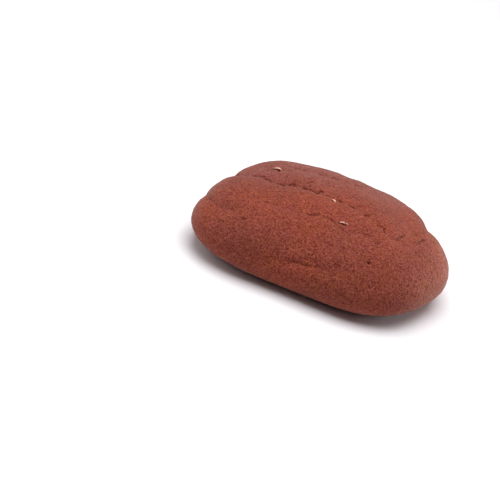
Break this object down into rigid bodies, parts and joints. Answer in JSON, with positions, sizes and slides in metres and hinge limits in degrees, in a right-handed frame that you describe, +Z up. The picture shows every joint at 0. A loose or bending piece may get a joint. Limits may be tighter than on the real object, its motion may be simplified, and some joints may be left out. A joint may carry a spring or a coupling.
{
  "type": "soft chocolate cookie",
  "caption": "Soft chocolate cookie: a puffed oval with long soft folds across its domed crust, pale bran flakes baked in, and a flat foot to rest on.",
  "frame": {"origin": "on the flat foot, under the middle of the cookie's bounding box", "axes": "+Z up out of the foot, +X along the cookie's long side, +Y towards its deeper, back lobe"},
  "size_m": [0.0968, 0.0798, 0.0294],
  "materials": {
    "cocoa_crust": "matte, finely grained cocoa crust with a faint velvety bloom"
  },
  "bodies": {
    "root": {"cookie": "cocoa_crust"}
  },
  "joints": []
}
